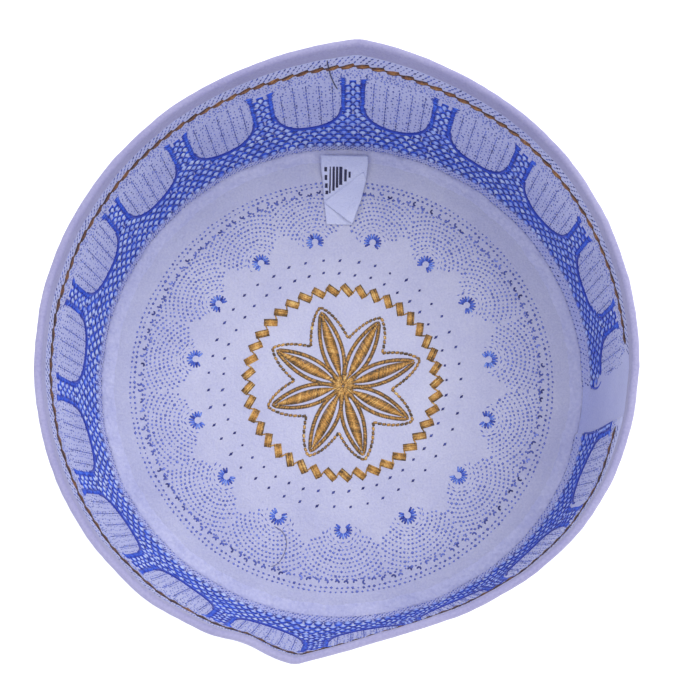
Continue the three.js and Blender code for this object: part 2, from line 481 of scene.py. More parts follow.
# dark, middle and light colour, roughness; the gold threads also have a stronger glint
threads = {
    "net_thread": ((18, 40, 160), (50, 97, 232), (116, 166, 255), 0.55),
    "cell_thread": ((84, 118, 240), (152, 180, 253), (208, 224, 255), 0.6),
    "dot_thread": ((46, 54, 128), (88, 108, 206), (140, 158, 240), 0.7),
    "crown_dot_thread": ((46, 52, 120), (102, 116, 200), (150, 166, 242), 0.75),
    "eye_thread": ((44, 62, 164), (86, 118, 226), (150, 180, 252), 0.5),
    "gold_thread": ((92, 72, 44), (220, 162, 74), (255, 226, 146), 0.4, 1.3),
    "chain_thread": ((58, 36, 42), (152, 100, 60), (224, 174, 100), 0.45, 1.0),
    "loose_thread_finish": ((30, 30, 60), (60, 60, 96), (136, 136, 172), 0.7),
}
finish = {name: cloth_material(name, *row) for name, row in cloths.items()}
finish.update({name: thread_material(name, *row) for name, row in threads.items()})


# Cloth pieces

def ring_faces(columns, rows):
    """Faces of a closed ring of closed sections."""
    column, row = np.meshgrid(np.arange(columns), np.arange(rows), indexing="ij")
    here, after = column * rows, (column + 1) % columns * rows
    next_row = (row + 1) % rows
    return np.stack([here + row, after + row, after + next_row, here + next_row], axis=-1).reshape(-1, 4)


def profile_columns(profile):
    """The two columns of a section's table, each as one row of an array."""
    return (np.array(values)[None, :] for values in zip(*profile))


def band_cloth():
    # even columns, with two close ones at the lapped edge
    azimuths = even_azimuths(cloth_columns)
    azimuths = azimuths[np.abs(azimuths - lap_azimuth) > 0.4]
    azimuths = np.sort(np.concatenate([azimuths, [lap_azimuth - 0.05, lap_azimuth + 0.5]]))[:, None]
    rounding = [(0.25, 0.9), (0.06, 0.5), (0.0, 0.0), (0.06, -0.5), (0.25, -0.9)]
    levels = np.linspace(band_bottom + 0.7, band_top - 0.7, 34)
    # (height, share of half the thickness): under the bottom, up the outside, over the top, down inside
    profile = [(band_bottom + lift, share) for lift, share in rounding[::-1]]
    profile += [(height, 1.0) for height in levels]
    profile += [(band_top - lift, share) for lift, share in rounding]
    profile += [(height, -1.0) for height in levels[::-1]]
    heights, shares = profile_columns(profile)
    outer = wall_radius(azimuths, heights, False)
    inner = wall_radius(azimuths, heights, True)
    points = ring_points((outer + inner) / 2 + (outer - inner) / 2 * shares, azimuths, heights)
    faces = ring_faces(len(azimuths), len(profile))
    piece = new_piece("band_cloth", points, [faces], "band_cotton")
    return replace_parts(piece, "side_band")


def hem_cloth():
    azimuths = even_azimuths(cloth_columns)[:, None]
    tree = cad_tree("rim_hem")
    levels = (hem_bottom + 0.2, rim_top - 1.6)
    table = np.array([
        [ray_radius(tree, azimuth, level, inside) for level in levels for inside in (True, False)]
        for azimuth in azimuths[:, 0]
    ])
    low_inner, low_outer, high_inner, high_outer = smooth_columns(table, 1).T[..., None]
    middle_low, middle_high = (low_inner + low_outer) / 2, (high_inner + high_outer) / 2
    lower = hem_bottom - 0.5
    # (share of half the thickness, height): up the outside, over the rolled top and down the inside
    profile = [
        (0.55, lower - 0.1), (0.86, lower + 0.1), (1.0, lower + 0.7), (0.97, 71.2), (0.94, 72.2),
        (0.98, 73.4), (1.0, 74.4), (0.93, 75.1), (0.72, 75.6), (0.38, 75.9), (0.0, 76.0),
    ]
    profile += [(-share, height) for share, height in profile[-2::-1]]
    shares, heights = profile_columns(profile)
    rise = np.clip((heights - hem_bottom) / (rim_top - hem_bottom), 0, 1)
    along = np.radians(azimuths) * mean_radius
    pucker = 0.07 * smooth_noise(along, heights * 2.5, 5.5, 21)
    radius = middle_low + (middle_high - middle_low) * rise + wall_ripple(azimuths, 70.0) + 0.2
    radius = radius + ((high_outer - high_inner) / 2 + 0.15 + pucker) * shares
    level = np.minimum(heights + 0.1 * smooth_noise(along, 0.0, 13, 22) * rise, rim_top + 0.2)
    faces = ring_faces(cloth_columns, len(profile))
    piece = new_piece("hem_cloth", ring_points(radius, azimuths, level), [faces], "shaded_hem_cotton")
    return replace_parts(piece, "rim_hem")


def crown_cloth():
    azimuths = even_azimuths(crown_columns)[:, None]
    tree = cad_tree("crown_panel")
    edge = np.array([[ray_radius(tree, azimuth, crown_top / 2, False)] for azimuth in azimuths[:, 0]])
    # (share of the radius, share of the thickness): out over the top, round the edge and back under
    profile = [(share, 1.0) for share in np.linspace(0.02, 0.985, 62)]
    profile += [(0.993, 0.93), (0.998, 0.72), (1.0, 0.4), (0.998, 0.12), (0.992, 0.0)]
    profile += [(share, 0.0) for share in np.linspace(0.98, 0.03, 40)]
    shares, mixes = profile_columns(profile)
    places = (edge * shares)[..., None] * direction(azimuths)
    low, high = (crown_height(places[..., 0], places[..., 1], inside) for inside in (False, True))
    # the crown's edge is puckered by the seam that joins it to the band
    near_edge = np.clip((shares - 0.93) / 0.07, 0, 1)
    pucker = 0.12 * near_edge * np.sin(np.radians(azimuths) * 140)
    level = low + (high - low) * mixes + pucker * mixes
    points = np.concatenate([places, level[..., None]], axis=-1).reshape(-1, 3)
    # a fan of triangles closes the middle on each side
    rows = len(profile)
    middle = np.full(crown_columns, len(points))
    here = np.arange(crown_columns) * rows
    after = np.roll(here, -1)
    top_fan = np.stack([middle, here, after], axis=-1)
    under_fan = np.stack([middle + 1, after + rows - 1, here + rows - 1], axis=-1)
    quads = ring_faces(crown_columns, rows).reshape(crown_columns, rows, 4)
    quads = quads[:, :-1, [0, 3, 2, 1]].reshape(-1, 4)
    points = np.concatenate([points] + [on_crown(np.zeros((1, 2)), inside)[0] for inside in (True, False)])
    piece = new_piece("crown_cloth", points, [quads, top_fan, under_fan], "crown_cotton")
    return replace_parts(piece, "crown_panel")


def seam_edge():
    """The turned-in edges of crown and band, a flat soft ring inside the corner."""
    azimuths = even_azimuths(cloth_columns)[:, None]
    along = np.radians(azimuths) * mean_radius
    inner_edge = 0.25 * smooth_noise(along, 0.0, 14, 31) + 0.08 * smooth_noise(along, 0.0, 4, 32)
    # (share of the width from the wall, share of the height): over the top from the wall, back under
    profile = [
        (0.0, -0.1), (0.0, 0.12), (0.1, 0.38), (0.24, 0.46), (0.42, 0.36), (0.6, 0.21),
        (0.8, 0.1), (0.95, 0.03), (1.06, -0.04), (1.16, -0.25), (0.6, -0.35), (0.3, -0.2),
    ]
    shares, lifts = profile_columns(profile)
    radius = wall_radius(azimuths, band_bottom + 1, True) + 0.25 - (seam_width + inner_edge) * shares
    wave = 0.2 * smooth_noise(along, shares * 9, 5, 33)
    places = radius[..., None] * direction(azimuths)
    level = crown_height(places[..., 0], places[..., 1], True) + (seam_top - crown_top + wave) * lifts
    faces = ring_faces(cloth_columns, len(profile))[:, ::-1]
    piece = new_piece("seam_edge", ring_points(radius, azimuths, level), [faces], "seam_cotton")
    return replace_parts(piece, "seam_allowance")


# Embroidery of the crown

def strand(start, end):
    """Short stitches from start to end, three points each."""
    return np.stack([start, (start + end) / 2, end], axis=1)


def crown_threads(stitches, paths, inside, sewn, tone):
    points, normals = on_crown(paths, inside)
    stitches.threads(points, normals, sewn, tone)


def satin(stitches, line, half_width, inside, slant, tone, sign=1):
    """Threads laid side by side across a line on the crown."""
    tangent = unit(np.gradient(line, axis=0))
    step = (sign * left_of(tangent) + slant * tangent) * half_width[:, None]
    tones = tone + wander(len(line), 0.13)
    sewn = satin_stitch._replace(height=satin_stitch.height + wander(len(line), 0.02))
    crown_threads(stitches, strand(line - step, line + step), inside, sewn, tones)


def line_lengths(line):
    return np.concatenate([[0], np.cumsum(np.linalg.norm(np.diff(line, axis=0), axis=1))])


def places_along(line, distances):
    lengths = line_lengths(line)
    return np.stack([np.interp(distances, lengths, line[:, k]) for k in (0, 1)], axis=-1)


def resample(line, pitch):
    return places_along(line, np.arange(pitch / 2, line_lengths(line)[-1], pitch))


def petal_place(petal, along, across):
    """Places on the crown, along a petal from the rosette's middle and across it."""
    axis = direction(petal.azimuth)
    return rosette_middle + np.multiply.outer(along, axis) + np.multiply.outer(across, left_of(axis))


def rosette(gold, inside):
    for petal in petals:
        length = petal_length * petal.reach
        share = np.linspace(0, 1, 60)
        lens = resample(petal_place(petal, 3.2 + (length - 4.6) * share, 0 * share), 0.40)
        middle = np.linspace(0, 1, len(lens))
        half = 1.9 * np.sin(math.pi * np.clip(middle, 0.03, 0.97)) ** 0.8 + 0.1
        satin(gold, lens, half, inside, 0.5, 0.62)
        for sign in (-1, 1):
            bulge = 3.6 * np.sin(math.pi * share ** 0.92) ** 0.8
            stroke = resample(petal_place(petal, 1.5 + (length - 1.5) * share, sign * bulge), 0.44)
            ends = np.linspace(0, 1, len(stroke))
            half = 0.74 * np.clip(np.minimum(ends, 1 - ends) * 9 + 0.5, 0, 1)
            satin(gold, stroke, half, inside, 0.55, 0.45, sign)
    heart = rng.uniform(0, 360, heart_stitches)
    reach = rng.uniform(1.5, 5.8, heart_stitches)[:, None] * np.array([0.1, 0.55, 1.0])
    paths = rosette_middle + reach[..., None] * direction(heart)[:, None]
    crown_threads(gold, paths, inside, heart_stitch, 0.48 + wander(heart_stitches, 0.24))


def running_stitch(stitches, line, inside):
    """Dashes along a line on the crown, each turned a little across it."""
    length = line_lengths(line)[-1]
    count = max(int(length / (outline_dash + outline_gap)), 1)
    middles = (np.arange(count)[:, None] + 0.5) * length / count
    dashes = places_along(line, middles + outline_dash / 2 * three_points)
    across = left_of(unit(dashes[:, 2] - dashes[:, 0]))
    dashes = dashes + 0.16 * three_points[:, None] * across[:, None]
    crown_threads(stitches, dashes, inside, outline_stitch, 0.34 + wander(count, 0.2))


def rosette_outline(gold, inside):
    """A dashed line round the petals, from each valley between two of them to each tip."""
    for number, petal in enumerate(petals):
        tip = petal_place(petal, outline_reach * petal.reach, 0)
        for sign in (1, -1):
            other = petals[(number + sign) % len(petals)]
            turn = ((other.azimuth - petal.azimuth + 540) % 360 - 180) / 2
            depth = outline_valley * (petal.valley if sign == 1 else other.valley)
            valley = rosette_middle + depth * direction(petal.azimuth + turn)
            shoulder = petal_place(petal, outline_reach * petal.reach * 0.89, sign * 4.6)
            share = np.linspace(0, 1, 24)[:, None]
            curve = valley * (1 - share) ** 2 + shoulder * 2 * share * (1 - share) + tip * share ** 2
            running_stitch(gold, curve, inside)


def satin_blocks(middle, along, across, length, width, count):
    """Middle lines of the threads that lie side by side in each block, and the painted shade that darkens
    their outer threads.
    """
    share = np.linspace(-0.5, 0.5, count) * (1 - 1 / count)
    offset = share[:, None, None] * width * across[:, None, None]
    paths = middle[:, None, None] + offset + length / 2 * three_points[:, None] * along[:, None, None]
    edge = np.zeros((len(middle), count))
    # painted shade: the outer threads of each block are darker
    edge[:, [0, -1]] = 0.25
    return paths.reshape(-1, 3, 2), edge.ravel()


def gold_circle(gold, inside):
    azimuths = ring_phase + even_azimuths(ring_blocks)
    middle = around(gold_ring, gold_ring.radius, azimuths)
    outward = direction(azimuths)
    lean = np.radians(45 + wander(ring_blocks, 2.5))[:, None]
    along = left_of(outward) * np.cos(lean) + outward * np.sin(lean)
    size = (ring_block_length, ring_block_width)
    paths, edge = satin_blocks(middle, along, left_of(along), *size, ring_block_threads)
    crown_threads(gold, paths, inside, ring_stitch, 0.66 - edge + wander(len(paths), 0.16))
    # a strand runs from the outer end of each block to the inner end of the next
    half = along * ring_block_length / 2
    links = strand(middle + half, np.roll(middle - half, -1, axis=0))
    crown_threads(gold, links, inside, ring_link, 0.36 + wander(ring_blocks, 0.15))


def speck_rings(dots, inside):
    for circle in (outer_specks, inner_specks):
        even = speck_phase + even_azimuths(speck_count)
        azimuths = even - 1.9 * np.cos(np.radians(even - 35))
        radius = circle.radius + wander(speck_count, 0.25)
        centres, normals = on_crown(around(circle, radius, azimuths + wander(speck_count, 0.25)), inside)
        size = np.clip(1 + wander(speck_count, 0.15), 0.6, 1.4)
        tones = 0.12 + wander(speck_count, 0.12)
        dots.seeds(centres, normals, np.append(direction(42), 0), 1.7 * size, 1.05, 0.25, tones)


def eye_azimuths():
    even = even_azimuths(eye_count) + eye_phase
    return even + 3.2 * np.cos(np.radians(even + 10))


def eye_marks(stitches, inside):
    """Each eye is a horseshoe of short radial stitches, open towards the middle of the crown."""
    for azimuth in eye_azimuths():
        spread = np.linspace(-128, 128, eye_stitches)
        reach = np.array([1.2, 2.2, 3.25]) * (1 + 0.05 * np.cos(np.radians(spread)))[:, None]
        middle = around(eye_circle, eye_circle.radius, azimuth)
        paths = middle + reach[..., None] * direction(spread + azimuth)[:, None]
        crown_threads(stitches, paths, inside, eye_stitch, 0.66 + wander(eye_stitches, 0.26))


def scale_dots(dots, inside):
    """Rows of dots on arcs round each eye, inside that eye's share of the crown."""
    azimuths = eye_azimuths()
    for azimuth, before, after in zip(azimuths, np.roll(azimuths, 1), np.roll(azimuths, -1)):
        middle = around(eye_circle, eye_circle.radius, azimuth)
        left = ((after - azimuth) % 360) / 2
        right = ((azimuth - before) % 360) / 2
        for row in range(scale_rows):
            # the rows next to the eye are closer, and the first two are sewn as dashes
            reach = 4.6 + 1.3 * row if row < 3 else 7.2 + scale_row * (row - 2)
            pitch, length, width = (1.9, 1.5, 0.55) if row < 2 else (dot_pitch, 1.08, 0.9)
            turn = even_azimuths(int(2 * math.pi * reach / pitch), 0.5 * (row % 2)) + azimuth
            places = middle + reach * direction(turn)
            x, y = (places[:, 0] - dot_circle.x, (places[:, 1] - dot_circle.y) / dot_circle.squash)
            radius = np.hypot(x, y)
            offset = (np.degrees(np.arctan2(y, x)) - azimuth + 540) % 360 - 180
            share = np.where(offset > 0, offset / left, -offset / right)
            inner = 50.6 + 9.6 * np.clip((share - 0.15) / 0.85, 0, 1)
            keep = (share < 0.985) & (radius < scale_edge) & (radius > inner)
            if keep.any():
                place_dots(dots, places[keep], turn[keep] + 90, inside, length, width, 0.76)


def place_dots(dots, places, azimuths, inside, length, width, tone):
    count = len(places)
    azimuths = azimuths + wander(count, math.degrees(0.4))
    places = places + np.stack([wander(count, 0.09), wander(count, 0.09)], axis=1)
    centres, normals = on_crown(places, inside)
    along = np.pad(direction(azimuths), ((0, 0), (0, 1)))
    size = np.clip(1 + wander(count, 0.16), 0.6, 1.5)
    dots.seeds(centres, normals, along, length * size, width * size, 0.2, tone + wander(count, 0.1))


def crown_rows(dots, inside):
    """A row of small dark hooks round the scales, open outwards, and the even rows beside it."""
    count = int(2 * math.pi * hook_radius / hook_pitch)
    azimuths = even_azimuths(count, wander(count, 0.08))
    middle = around(dot_circle, hook_radius + wander(count, 0.25), azimuths)
    bend = (azimuths + 165 + wander(count, 40))[:, None] + np.linspace(-100, 100, 6)
    paths = middle[:, None] + hook_size * direction(bend)
    crown_threads(dots, paths, inside, hook_stitch, 0.5 + wander(count, 0.26))
    Row = namedtuple("Row", "radius length width tone")
    rows = [Row(71.9, 1.2, 0.95, 0.64), Row(74.9, 1.2, 0.95, 0.6), Row(76.4, 1.1, 0.85, 0.7)]
    for number, row in enumerate(rows):
        azimuths = even_azimuths(int(2 * math.pi * row.radius / 1.9), 0.5 * (number % 2))
        places = around(dot_circle, row.radius, azimuths)
        place_dots(dots, places, azimuths + 90, inside, row.length, row.width, row.tone)


# Embroidery of the wall

def degrees_of(length):
    return length / mean_radius * 180 / math.pi


# the whole pillars are set a little towards lower azimuths, except near the cut edge
pillar_number = np.arange(pillar_count)
from_the_cut = np.minimum(pillar_number, pillar_count - 0.1 - pillar_number)
pillar_shift = pillar_set_back * np.clip(from_the_cut / 1.7, 0, 1)
pillar_azimuths = first_pillar - pillar_pitch * pillar_number - pillar_shift
# net from its rounded end just past the back seam, round to the cut edge
net_low_azimuth = net_end - 360
net_high_azimuth = first_pillar


def interior_half_width(height):
    """Half the width of the blue field between two bays, at a height above the floor."""
    drop = np.clip((bay_corner - height) / (bay_corner - bay_bottom), 0, 1)
    bay = bay_half_width * (1 - drop ** bay_roundness) ** (1 / bay_roundness)
    return pillar_pitch * math.pi / 180 * mean_radius / 2 - bay


def bay_floor(offset):
    """Height of a bay's rounded floor at a distance from its middle."""
    drop = np.clip(1 - np.abs(offset / bay_half_width) ** bay_roundness, 0, 1) ** (1 / bay_roundness)
    return bay_corner - (bay_corner - bay_bottom) * drop


def wall_threads(stitches, azimuth, height, inside, sewn, tone):
    points, normals = on_wall(np.atleast_2d(azimuth), np.atleast_2d(height), inside)
    if not inside:
        sewn = sewn._replace(height=sewn.height * outside_height)
    stitches.threads(points, normals, sewn, tone)


def net_foot(azimuth):
    """Height of the net's lower edge, which sits higher near the back seam."""
    turned = np.abs((np.asarray(azimuth) - net_lift_azimuth + 180) % 360 - 180)
    return net_bottom + net_lift * (1 + np.cos(math.pi * np.minimum(turned / 65, 1))) / 2


def net_cells():
    """Middle azimuth, foot height and share of the full width of every cell of the net."""
    cells = []
    span = net_high_azimuth - net_low_azimuth
    columns = round(span * math.pi / 180 * mean_radius / net_pitch)
    pitch = span / columns
    for row in range(net_rows):
        for column in range(columns):
            azimuth = net_low_azimuth + (column + 0.5 + 0.5 * (row % 2)) * pitch
            foot = net_foot(azimuth) + (bay_bottom - net_foot(azimuth)) * row / net_rows
            end_margin = degrees_of(0.6 + 0.5 * abs(row - 1.5))
            if net_low_azimuth + end_margin < azimuth < net_high_azimuth - end_margin / 2:
                cells.append((azimuth, foot, 1.0))
    for number, pillar in enumerate(pillar_azimuths):
        for row, foot in enumerate(np.arange(bay_bottom, pillar_top - net_row, net_row * 0.85)):
            if foot > bay_corner - 6:
                # smaller cells, one and two by turns; the cut half pillar has one
                offsets = (-1.2,) if number == 0 else (0.0,) if row % 2 else (-1.4, 1.4)
                cells.extend((pillar + degrees_of(offset), foot, 0.74) for offset in offsets)
                continue
            room = interior_half_width(foot + net_row / 2) - 1.0
            steps = int(room / net_pitch) + 1
            for k in range(-steps - 1, steps + 1):
                offset = (k + 0.5 * (row % 2)) * net_pitch
                if abs(offset) < room and pillar + degrees_of(offset) < net_high_azimuth - 0.9:
                    cells.append((pillar + degrees_of(offset), foot, 1.0))
    return np.array(cells)


def net(lines, fill, inside):
    """Light raised cells with dark arched stitches between them, on a blue ground."""
    cells = net_cells()
    count = len(cells)
    wide = cells[:, 2]
    azimuth = (cells[:, 0] + wander(count, 0.08))[:, None]
    foot = (cells[:, 1] + wander(count, 0.1))[:, None]
    half = (degrees_of(net_pitch / 2) * (1.05 + wander(count, 0.04)) * wide)[:, None]
    ground = cells[:, 1:2] + net_row * np.array([-0.15, 0.5, 1.12])
    sewn = ground_stitch._replace(width=ground_stitch.width * wide)
    wall_threads(lines, cells[:, :1], ground, inside, sewn, 0.5 + wander(count, 0.05))
    share = np.linspace(-0.86, 0.86, 7)
    height = foot - 0.3 + net_row * (1 - np.abs(share) ** 2.2)
    # painted light: the threads are lighter towards azimuth 190, where the light falls on the inside of the
    # wall
    painted_light = np.cos(np.radians(cells[:, 0] - 190))
    tone = 0.1 + 0.1 * painted_light + wander(count, 0.12)
    wall_threads(lines, azimuth + half * share, height, inside, arch_stitch, tone)
    cushion = foot + net_row * np.array([-0.2, 0.06, 0.36, 0.62, 0.78])
    sewn = cell_stitch._replace(width=cell_stitch.width * wide)
    wall_threads(fill, azimuth, cushion, inside, sewn, 0.72 + 0.16 * painted_light + wander(count, 0.2))


def bay_outlines(lines, inside):
    """The U-shaped line under each bay, from the foot of one pillar's strip to the next."""
    offset = bay_half_width * np.sin(np.linspace(-1, 1, 45) * math.pi / 2)
    for pillar in pillar_azimuths:
        azimuth = pillar - pillar_pitch / 2 + degrees_of(offset)
        keep = azimuth > net_low_azimuth + 1.2
        for layer, tone in ((0.0, 0.12), (0.55, 0.25), (1.1, 0.4)):
            wall_threads(lines, azimuth[keep], bay_floor(offset)[keep] - layer, inside, bay_stitch, tone)


def net_end_line(lines, inside):
    """The rounded end of the net at the back seam."""
    foot, top = net_foot(net_low_azimuth), bay_bottom + 1
    bend = direction(np.linspace(70, -95, 16))
    azimuth = net_low_azimuth + 1.2 - degrees_of(2.6) * bend[:, 0]
    height = (foot + top) / 2 + (top - foot) / 2 * bend[:, 1]
    wall_threads(lines, azimuth, height, inside, net_end_stitch, 0.3)


def pillar_strips(lines, inside):
    """Strips of satin on both sides of each pillar, ragged at the top."""
    for number, pillar in enumerate(pillar_azimuths):
        for sign in (-1, 1):
            if number == 0 and sign == 1:
                continue
            heights = np.arange(bay_corner - 5.5, pillar_top + 0.5 * sign, satin_pitch)
            count = len(heights)
            heights = heights + wander(count, 0.05)
            outer = np.minimum(interior_half_width(heights), pillar_half_width + 3.4)
            narrow = np.clip((heights - (bay_corner - 6)) / 4, 0.35, 1)
            flare = np.clip((heights - pillar_top + 5) / 5, 0, 1) * (0.8 + wander(count, 0.45))
            inner = outer - satin_width * narrow + wander(count, 0.15)
            offset = strand(outer + flare, inner) + wander(count, 0.08)[:, None]
            azimuth = pillar + sign * degrees_of(offset)
            tone = 0.45 + wander(count, 0.2)
            wall_threads(lines, azimuth, heights[:, None] - 0.35 * three_points, inside, strip_stitch, tone)


def cut_edge(lines, inside):
    """The embroidery's cut edge at the back seam: a slanted dark line down the half pillar."""
    height = np.linspace(net_foot(first_pillar) - 1, pillar_top, 30)
    azimuth = first_pillar + 0.4 - 2.4 * (height - net_bottom) / (pillar_top - net_bottom)
    wall_threads(lines, azimuth, height, inside, cut_stitch, 0.2)


# each bay's middle azimuth, and how far its pattern runs to the right of it; the last one is cut short
bay_places = [(pillar - pillar_pitch / 2, bay_half_width) for pillar in pillar_azimuths]
bay_places[-1] = (bay_places[-1][0], 1.0)


def bay_lines(dots, inside):
    """Thin upright rows of stitches in each bay."""
    for middle, right_reach in bay_places:
        for offset in (-8.4, -4.2, 0.0, 4.2, 8.4):
            if -offset > right_reach:
                continue
            heights = np.arange(bay_floor(offset) + 1.4, 56, 2.3)
            heights = heights[heights < 55 + rng.uniform(-2, 1)]
            azimuth = middle + degrees_of(offset + wander(len(heights), 0.03)[:, None])
            tone = 0.5 + wander(len(heights), 0.2)
            wall_threads(dots, azimuth, heights[:, None] + three_points, inside, row_stitch, tone)


def wall_seeds(dots, azimuth, height, inside, length, width, tone, lean):
    count = len(azimuth)
    centres, normals = on_wall(azimuth, height, inside)
    sideways, up = (unit(step) for step in wall_steps(azimuth, height, inside))
    turn = direction(lean + wander(count, 7))
    along = sideways * turn[:, :1] + up * turn[:, 1:]
    size = np.clip(1 + wander(count, 0.2), 0.5, 1.5)
    dots.seeds(centres, normals, along, length * size, width * size, 0.16, tone + wander(count, 0.15))


def bay_specks(dots, inside):
    """Faint specks between the lines, and denser rows of them along the top of the bays."""
    rows = []
    for middle, right_reach in bay_places:
        for column, offset in enumerate(np.arange(-10.5, 10.6, 1.4)):
            if -offset > right_reach or abs((offset + 2.1) % 4.2 - 2.1) < 0.35:
                continue
            level = np.arange(bay_floor(offset) + 1.2, 56.5, 2.5) + 1.25 * (column % 2)
            level = level + rng.uniform(-0.5, 0.5, len(level))
            rows.append(np.broadcast_arrays(middle + degrees_of(offset), level, 0.6))
    for number, level in enumerate(np.arange(57.4, 62.6, 1.05)):
        sweep = np.arange(net_low_azimuth + 3, net_high_azimuth, degrees_of(1.3))
        sweep = sweep + degrees_of(0.65) * (number % 2)
        rows.append(np.broadcast_arrays(sweep, level, 0.72))
    azimuth, height, tone = (np.concatenate(values) for values in zip(*rows))
    azimuth = azimuth + wander(len(azimuth), degrees_of(0.22))
    wall_seeds(dots, azimuth, height + wander(len(azimuth), 0.2), inside, 1.35, 0.66, tone, 90)


def lower_rows(dots, inside):
    """Faint slanted stitches between the net and the crown seam."""
    for number, drop in enumerate((3.4, 2.5, 1.6, 0.7)):
        sweep = np.arange(net_low_azimuth + 1, net_high_azimuth - 0.5, degrees_of(1.75))
        sweep = sweep + degrees_of(0.8) * (number % 2)
        foot = net_foot(sweep)
        level = np.maximum(foot - drop * (1 + (foot - net_bottom) / net_lift), crown_top + 0.6)
        wall_seeds(dots, sweep, level + wander(len(sweep), 0.15), inside, 1.4, 0.6, 0.5, 115)


def rim_dashes(dots, inside):
    """Rows of slanted dashes between the gold line and the hem."""
    sweep = np.arange(net_low_azimuth + 3, net_high_azimuth - 1, degrees_of(dash_pitch))
    for level in (65.9, 67.3, 68.7):
        shifted = sweep - degrees_of((level - 66) * 0.55)
        wall_seeds(dots, shifted, np.full(len(sweep), level), inside, 1.6, 0.66, 0.3, 118)


def gold_chain(gold, inside):
    """Lozenges of gold thread in a line below the rim, with dark links between them."""
    start, end = net_low_azimuth + 4.3, first_pillar - 1.6
    count = int((end - start) / degrees_of(chain_pitch))
    azimuths = start + (np.arange(count) + 0.5) * (end - start) / count
    middle = np.tile([0, chain_height], (count, 1))
    along = np.tile(direction(180 - chain_lean), (count, 1))
    paths, edge = satin_blocks(middle, along, -left_of(along), chain_length, chain_width, chain_threads)
    block_azimuths = np.repeat(azimuths, chain_threads)
    # painted light: the thread is painted brighter on the far wall than elsewhere
    far_wall_light = 0.36 + 0.24 * np.clip(np.cos(np.radians(block_azimuths - 80)), 0, 1)
    azimuth = block_azimuths[:, None] + degrees_of(paths[..., 0])
    tone = far_wall_light - edge + wander(len(paths), 0.16)
    wall_threads(gold, azimuth, paths[..., 1], inside, chain_stitch, tone)
    azimuth = (azimuths[:-1] + azimuths[1:])[:, None] / 2 + degrees_of(1.3 * three_points)
    wall_threads(gold, azimuth, chain_height - 0.35 * three_points, inside, chain_link, 0.15)


# Label

LabelRow = namedtuple("LabelRow", "along left right")
label_rows = [
    LabelRow(0.0, -0.5, 0.5), LabelRow(0.14, -0.49, 0.49), LabelRow(0.35, -0.45, 0.455),
    LabelRow(0.65, -0.415, 0.36), LabelRow(1.0, -0.35, 0.19),
]
flap_rows = [
    LabelRow(0.25, 0.38, 0.4), LabelRow(0.35, 0.2, 0.455), LabelRow(0.65, -0.36, 0.36),
    LabelRow(0.69, -0.4, 0.34), LabelRow(0.99, 0.16, 0.19),
]
label_azimuth = 89.0
label_width = 17.8
label_length = 26.0
label_inset = 2.7
ribbon_thickness = 0.35


def edge_lines(rows):
    """A ribbon's places along it, with its left and right edges there, in millimetres."""
    return np.array(rows).T * np.array([[label_length], [label_width], [label_width]])


def label_place(across, along, lift):
    """A place on the label: across its width, along it from the sewn end, and above what it lies on."""
    outward = direction(label_azimuth)
    radius = wall_radius(label_azimuth, band_bottom, True) - label_inset - along
    ramp = np.clip((along - 4.2) / 6.5, 0, 1)
    ramp = ramp * ramp * (3 - 2 * ramp)
    low = (seam_top + 0.3) * (1 - ramp) + (crown_top + 0.3) * ramp
    flat = np.multiply.outer(radius, outward) - np.multiply.outer(across, left_of(outward))
    return np.concatenate([flat, (low + lift)[..., None]], axis=-1)


def label_wave(across, along):
    return 0.12 * smooth_noise(across, along, 9, 41)


def ribbon_solid(rows, lift, curl):
    """A closed thin sheet between two edge lines, with a soft curl."""
    alongs, lefts, rights = edge_lines(rows)
    steps, columns = 40, 24
    along = np.linspace(alongs[0], alongs[-1], steps)[:, None]
    left, right = (np.interp(along, alongs, edge) for edge in (lefts, rights))
    across = left + (right - left) * np.linspace(0, 1, columns)
    along = np.broadcast_to(along, across.shape)
    wave = curl(across, along) + label_wave(across, along)
    lifts = (lift + wave + height for height in (0.0, ribbon_thickness))
    points = np.stack([label_place(across, along, above) for above in lifts])
    size = steps * columns
    i, j = np.meshgrid(np.arange(steps - 1), np.arange(columns - 1), indexing="ij")
    corner = (i * columns + j).ravel()
    under = np.stack([corner, corner + 1, corner + columns + 1, corner + columns], axis=-1)
    over = under[:, ::-1] + size
    rim = np.concatenate([
        np.arange(columns), np.arange(1, steps) * columns + columns - 1,
        (steps - 1) * columns + np.arange(columns - 2, -1, -1), np.arange(steps - 2, 0, -1) * columns,
    ])
    after = np.roll(rim, -1)
    walls = np.stack([rim, rim + size, after + size, after], axis=-1)
    return points.reshape(-1, 3), np.concatenate([under, over, walls])


def label_ribbon():
    def flap_curl(across, along):
        from_fold = (along - 6.5) + (across - 6.1) * 0.83
        return 0.45 + 1.3 * np.clip(from_fold / 12, 0, 1) ** 2

    base_points, base_faces = ribbon_solid(label_rows, 0.0, lambda across, along: 0 * across)
    flap_points, flap_faces = ribbon_solid(flap_rows, 0.1, flap_curl)
    points = np.concatenate([base_points, flap_points])
    faces = [base_faces, flap_faces + len(base_points)]
    piece = new_piece("label_ribbon", points, faces, "ribbon_satin")
    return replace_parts(piece, "label")


def label_bars():
    """Plain dark woven bars on the lower layer of the label."""
    bars = Stitches()
    Bar = namedtuple("Bar", "across start end width")
    table = [
        Bar(-6.9, 4.6, 6.2, 1.1), Bar(-6.8, 7.4, 9.2, 1.1), Bar(-6.6, 10.4, 12.2, 1.1),
        Bar(-6.3, 13.2, 14.6, 1.1), Bar(-5.2, 4.4, 14.2, 0.55), Bar(-3.9, 4.4, 13.2, 0.9),
        Bar(-2.6, 4.4, 12.0, 0.9), Bar(-1.2, 4.4, 10.9, 1.3), Bar(0.5, 5.4, 9.6, 1.0),
        Bar(2.0, 6.2, 8.3, 0.8),
    ]
    for bar in table:
        along = np.linspace(bar.start, bar.end, 9)
        across = np.full(9, bar.across)
        points = label_place(across, along, ribbon_thickness + 0.01 + label_wave(across, along))
        normals = np.tile([0.0, 0.0, 1.0], (1, 9, 1))
        bars.threads(points[None], normals, bar_stitch._replace(width=bar.width), 0.25)
    return bars


